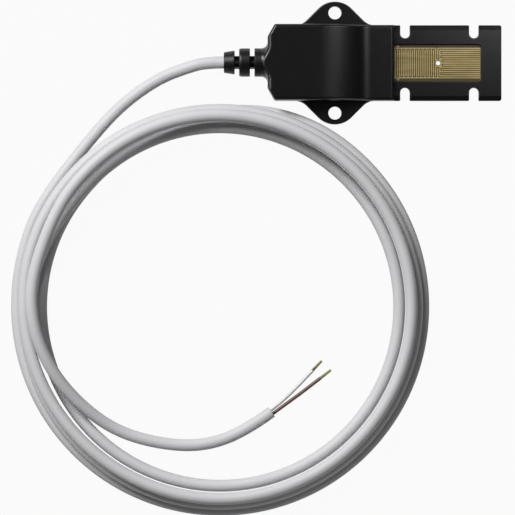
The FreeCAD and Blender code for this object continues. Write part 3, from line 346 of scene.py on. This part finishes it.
def makeBareEnd(settings):
    strandMaterial = makeStrandMaterial(strandFinish)
    pieces = []
    for colour, finish in (("white", whiteFinish), ("brown", brownFinish)):
        core = makeLine(f"{colour}Core", settings[colour], settings["coreRadius"])
        core.data.materials.append(makeCoreMaterial(f"{colour} core PVC", finish, settings[colour][0]))
        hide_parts(f"core_{colour}_end")
        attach(core, "root")
        strands = makeStrands(f"{colour}Strands", settings[colour][-1], settings[f"{colour}Tip"], settings)
        strands.data.materials.append(strandMaterial)
        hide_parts(f"conductor_{colour}_end")
        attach(strands, "root")
        pieces += [core, strands]
    print("bare end made")
    return pieces


bareEnd = makeBareEnd(bareEndSettings)


housingFinish = {
    "colour": "#0a0a0b",
    "shades": ("#08080a", "#0c0c0d"),
    "blotchMm": 12.0,
    "roughness": 0.29,
    "roughnessRange": (0.27, 0.32),
    "sheenMm": 4.0,
    "ior": 1.47,
    "grainMm": 0.25,
    "grainDepthMm": 0.012,
    "grainStrength": 0.5,
}


# ABS, injection moulded from a finely eroded tool: near black, satin, with a soft sheen on its curves. The
# tool's grain is about 0.1 mm and is drawn coarser, so that it shows.
def makeHousingMaterial(finish):
    material, tree, shader, place = startMaterial("eroded black ABS", finish)
    sheen = remap(tree, addNoise(tree, place, finish["sheenMm"]), *finish["roughnessRange"])
    tree.links.new(mixShades(tree, place, finish), shader.inputs["Base Color"])
    tree.links.new(sheen, shader.inputs["Roughness"])
    addGrain(tree, shader, place, finish)
    return material


bootFinish = {
    "colour": "#070708",
    "shades": ("#060607", "#0a0a0b"),
    "blotchMm": 6.0,
    "roughness": 0.4,
    "ior": 1.4,
    "grainMm": 0.4,
    "grainDepthMm": 0.01,
    "grainStrength": 0.4,
}


# Flexible PVC, moulded: darker and duller than the ABS, so its rings show as broad soft lines of light
def makeBootMaterial(finish):
    material, tree, shader, place = startMaterial("moulded black PVC boot", finish)
    tree.links.new(mixShades(tree, place, finish), shader.inputs["Base Color"])
    addGrain(tree, shader, place, finish)
    return material


combFinish = {
    "colour": "#b8a46e",
    "shades": ("#7f6d3e", "#c4b17a"),
    "streakMm": 1.2,
    "streakDetail": 4.0,
    "streakSqueeze": (0.12, 1.0, 1.0),
    "roughness": 0.48,
    "roughnessRange": (0.38, 0.52),
    "metallic": 0.85,
    # The dark band on the outer rails: its metallic, its colour, and where across the comb it starts and
    # fades, in mm
    "railBandMetallic": 0.2,
    "railBandColour": "#3a301c",
    "railBandFromMm": 6.05,
    "railBandFadeMm": 0.1,
    "reliefMm": 0.01,
    "reliefStrength": 0.2,
}


# Gold over nickel on copper, lightly lapped along the length: warm, soft streaks. The outer part of both
# long rails is coloured dark brown and less metallic, which frames the bright fingers with a dark band.
def makeCombMaterial(finish):
    material, tree, shader, place = startMaterial("gold plated copper", finish)
    stretch = addNode(tree, "ShaderNodeMapping", {"Vector": place})
    stretch.inputs["Scale"].default_value = finish["streakSqueeze"]
    streaks = addNoise(tree, stretch.outputs["Vector"], finish["streakMm"], finish["streakDetail"])
    gold = mixColours(tree, streaks, *finish["shades"])
    # Beyond a set distance across the comb from its middle line, the colour turns dark brown and less
    # metallic
    across = addNode(tree, "ShaderNodeSeparateXYZ", {"Vector": place})
    reach = addNode(tree, "ShaderNodeMath", {0: across.outputs["Y"]}, operation="ABSOLUTE")
    railBand = addNode(tree, "ShaderNodeMapRange", {"Value": reach.outputs["Value"]},
                   {"From Min": finish["railBandFromMm"] * mm,
                    "From Max": (finish["railBandFromMm"] + finish["railBandFadeMm"]) * mm})
    bandedGold = addNode(tree, "ShaderNodeMix", {"Factor": railBand.outputs["Result"], "A": gold}, data_type="RGBA")
    bandedGold.inputs["B"].default_value = linearColour(finish["railBandColour"])
    metallic = remap(tree, railBand.outputs["Result"], finish["metallic"], finish["railBandMetallic"])
    tree.links.new(bandedGold.outputs["Result"], shader.inputs["Base Color"])
    tree.links.new(metallic, shader.inputs["Metallic"])
    tree.links.new(remap(tree, streaks, *finish["roughnessRange"]), shader.inputs["Roughness"])
    addBump(tree, shader, streaks, finish["reliefMm"], finish["reliefStrength"])
    return material


boardFinish = {"colour": "#0e0a05", "shades": ("#0a0703", "#130e07"), "blotchMm": 0.6, "roughness": 0.5}


# Glass fibre laminate under brown-black solder mask: shows as the dark line between the fingers
def makeBoardMaterial(finish):
    material, tree, shader, place = startMaterial("masked glass fibre board", finish)
    tree.links.new(mixShades(tree, place, finish), shader.inputs["Base Color"])
    return material


# Plain finishes of the window's two pins and of the parts under the cover: two shades and the roughness,
# and for some their metallic and the size of their grain
smallFinishes = {
    "black epoxy package": {"shades": ("#1c1c1e", "#26262a"), "roughness": 0.5},
    "bright tin": {"shades": ("#c8c8c4", "#b0b0ac"), "roughness": 0.25, "metallic": 1.0, "grainMm": 0.4},
    "black nitrile rubber": {"shades": ("#141414", "#1c1c1c"), "roughness": 0.7},
    "dull tinned pins": {"shades": ("#8f8a70", "#7c775f"), "roughness": 0.55, "metallic": 0.5,
                         "grainMm": 0.4},
    "black nylon": {"shades": ("#1b1b1c", "#242425"), "roughness": 0.5},
    "zinc plated steel": {"shades": ("#b9bcc0", "#a7aaae"), "roughness": 0.3, "metallic": 1.0,
                          "grainMm": 0.5},
    "drawn aluminium can": {"shades": ("#c9ccd0", "#b8bbc0"), "roughness": 0.25, "metallic": 1.0},
    "black glazed alumina": {"shades": ("#202024", "#2c2c30"), "roughness": 0.35},
    "tan ceramic": {"shades": ("#a08262", "#8c7052"), "roughness": 0.45},
}
smallGrain = {"grainMm": 1.0, "grainDepthMm": 0.01, "grainStrength": 0.3}


# Small parts, moulded, drawn, plated or fired: an even colour, with a fine grain as large as its blotches
def makeSmallMaterial(name):
    finish = {**smallGrain, **smallFinishes[name]}
    finish["colour"] = finish["shades"][0]
    finish["blotchMm"] = finish["grainMm"]
    material, tree, shader, place = startMaterial(name, finish)
    tree.links.new(mixShades(tree, place, finish), shader.inputs["Base Color"])
    addGrain(tree, shader, place, finish)
    return material


def dressNodes():
    black = makeHousingMaterial(housingFinish)
    gold = makeCombMaterial(combFinish)
    epoxy = makeSmallMaterial("black epoxy package")
    dress = {
        "base_housing": black,
        "top_cover": black,
        "strain_relief": makeBootMaterial(bootFinish),
        "electrode_comb_left": gold,
        "electrode_comb_right": gold,
        "sensor_board": makeBoardMaterial(boardFinish),
        "cover_seal": makeSmallMaterial("black nitrile rubber"),
        "comb_rivets": makeSmallMaterial("dull tinned pins"),
        "cable_clamp": makeSmallMaterial("black nylon"),
        "clamp_screws": makeSmallMaterial("zinc plated steel"),
        "cord_entry": jacketMaterial,
        "inner_core_white": bpy.data.materials["white core PVC"],
        "inner_core_brown": bpy.data.materials["brown core PVC"],
        "comparator_chip": epoxy,
        "output_transistor": epoxy,
        "voltage_regulator": epoxy,
        "protection_diode": epoxy,
        "filter_capacitor": makeSmallMaterial("drawn aluminium can"),
        "chip_resistors": makeSmallMaterial("black glazed alumina"),
        "chip_capacitors": makeSmallMaterial("tan ceramic"),
        "solder_joints": makeSmallMaterial("bright tin"),
    }
    for name, material in dress.items():
        node = nodes[name]
        node.data.materials.clear()
        node.data.materials.append(material)
    print("nodes dressed:", len(dress))


dressNodes()


# White floor that keeps a faint shadow, and soft studio light from the upper left. The floor lies just
# under the part, so that no two of their faces share a plane.
studioSettings = {
    "floorHalf": 1200.0,
    "floorDrop": 0.05,
    "floorWhite": 0.95,
    "floorShade": 0.22,
    "floorRoughness": 0.9,
    # A lamp stands off its aim point: distance in mm, tilt from upright and turn from +X in degrees.
    # Its spread is the full angle of its beam. The small lamps light the black head alone, which
    # leaves the pale lead at the plain level of the key lamp.
    "lamps": {
        "keyLamp": {"aim": (-45, -75, 5), "distance": 1800, "tilt": 46, "turn": 128, "size": 900,
                    "radiance": 16.5, "spread": 180, "lights": "all"},
        "headLamp": {"aim": (50, 15, 3), "distance": 140, "tilt": 27, "turn": 60, "size": 100,
                     "radiance": 6.0, "spread": 70, "lights": "head"},
        "crestLamp": {"aim": (-14, 0, 11), "distance": 150, "tilt": 24, "turn": 10, "size": 130,
                      "radiance": 1.1, "spread": 29, "lights": "head"},
        "sideLamp": {"aim": (-40, 0, 8), "distance": 260, "tilt": 50, "turn": 175, "size": 130,
                     "radiance": 11.0, "spread": 36, "lights": "head"},
        "fillLamp": {"aim": (-45, -75, 5), "distance": 1800, "tilt": 72, "turn": 300, "size": 900,
                     "radiance": 1.8, "spread": 180, "lights": "all"},
    },
    "worldStrength": 0.035,
}


# White paper: the camera and mirrored rays see it as white, and it throws little light on the object
def makePaperMaterial(settings):
    material = bpy.data.materials.new("white paper sweep")
    material.use_nodes = True
    tree = material.node_tree
    shader = tree.nodes["Principled BSDF"]
    shader.inputs["Base Color"].default_value = (*[settings["floorShade"]] * 3, 1)
    shader.inputs["Roughness"].default_value = settings["floorRoughness"]
    shader.inputs["Specular IOR Level"].default_value = 0.0
    white = addNode(tree, "ShaderNodeEmission", inputs={"Color": (1, 1, 1, 1), "Strength": 1.0})
    rays = addNode(tree, "ShaderNodeLightPath").outputs
    mirrored = addNode(tree, "ShaderNodeMath", {0: rays["Is Glossy Ray"], 1: rays["Is Transmission Ray"]},
                       operation="MAXIMUM")
    seen = addNode(tree, "ShaderNodeMath", {0: rays["Is Camera Ray"], 1: mirrored.outputs["Value"]},
                   operation="MAXIMUM")
    share = addNode(tree, "ShaderNodeMath", {0: seen.outputs["Value"]}, {1: settings["floorWhite"]},
                    operation="MULTIPLY")
    mix = addNode(tree, "ShaderNodeMixShader", {"Fac": share.outputs["Value"], 1: shader.outputs["BSDF"],
                                                2: white.outputs["Emission"]})
    tree.links.new(mix.outputs["Shader"], tree.nodes["Material Output"].inputs["Surface"])
    return material


def makeFloor(settings):
    half = settings["floorHalf"] * mm
    low = -settings["floorDrop"] * mm
    mesh = bpy.data.meshes.new("floor")
    corners = [(-half, -half, low), (half, -half, low), (half, half, low), (-half, half, low)]
    mesh.from_pydata(corners, [], [(0, 1, 2, 3)])
    mesh.materials.append(makePaperMaterial(settings))
    floor = bpy.data.objects.new("floor", mesh)
    scene.collection.objects.link(floor)


# All of the CAD's nodes but the cord's, for the lamps that light the head alone
def gatherHead():
    head = bpy.data.collections.new("head")
    for name, node in nodes.items():
        if name not in frame["record"]["physics"]["cord_nodes"]:
            head.objects.link(node)
    return head


def makeLamp(name, lamp, head):
    tilt = math.radians(lamp["tilt"])
    turn = math.radians(lamp["turn"])
    away = Vector((math.sin(tilt) * math.cos(turn), math.sin(tilt) * math.sin(turn), math.cos(tilt)))
    data = bpy.data.lights.new(name, "AREA")
    data.shape = "DISK"
    data.size = lamp["size"] * mm
    half = math.radians(lamp["spread"] / 2)
    data.spread = 2 * half
    narrowed = 1 - half / math.tan(half)  # a narrow beam is stronger along its axis
    data.energy = lamp["radiance"] * math.pi * math.pi * (data.size / 2) ** 2 * narrowed
    light = bpy.data.objects.new(name, data)
    light.location = (Vector(lamp["aim"]) + away * lamp["distance"]) * mm
    light.rotation_euler = (-away).to_track_quat("-Z", "Y").to_euler()
    scene.collection.objects.link(light)
    if lamp["lights"] == "head":
        light.light_linking.receiver_collection = head


def makeStudio(settings):
    makeFloor(settings)
    head = gatherHead()
    for name, lamp in settings["lamps"].items():
        makeLamp(name, lamp, head)
    world = bpy.data.worlds.new("studio")
    world.use_nodes = True
    background = world.node_tree.nodes["Background"]
    background.inputs["Color"].default_value = (1, 1, 1, 1)
    background.inputs["Strength"].default_value = settings["worldStrength"]
    scene.world = world
    print("studio lit")


makeStudio(studioSettings)
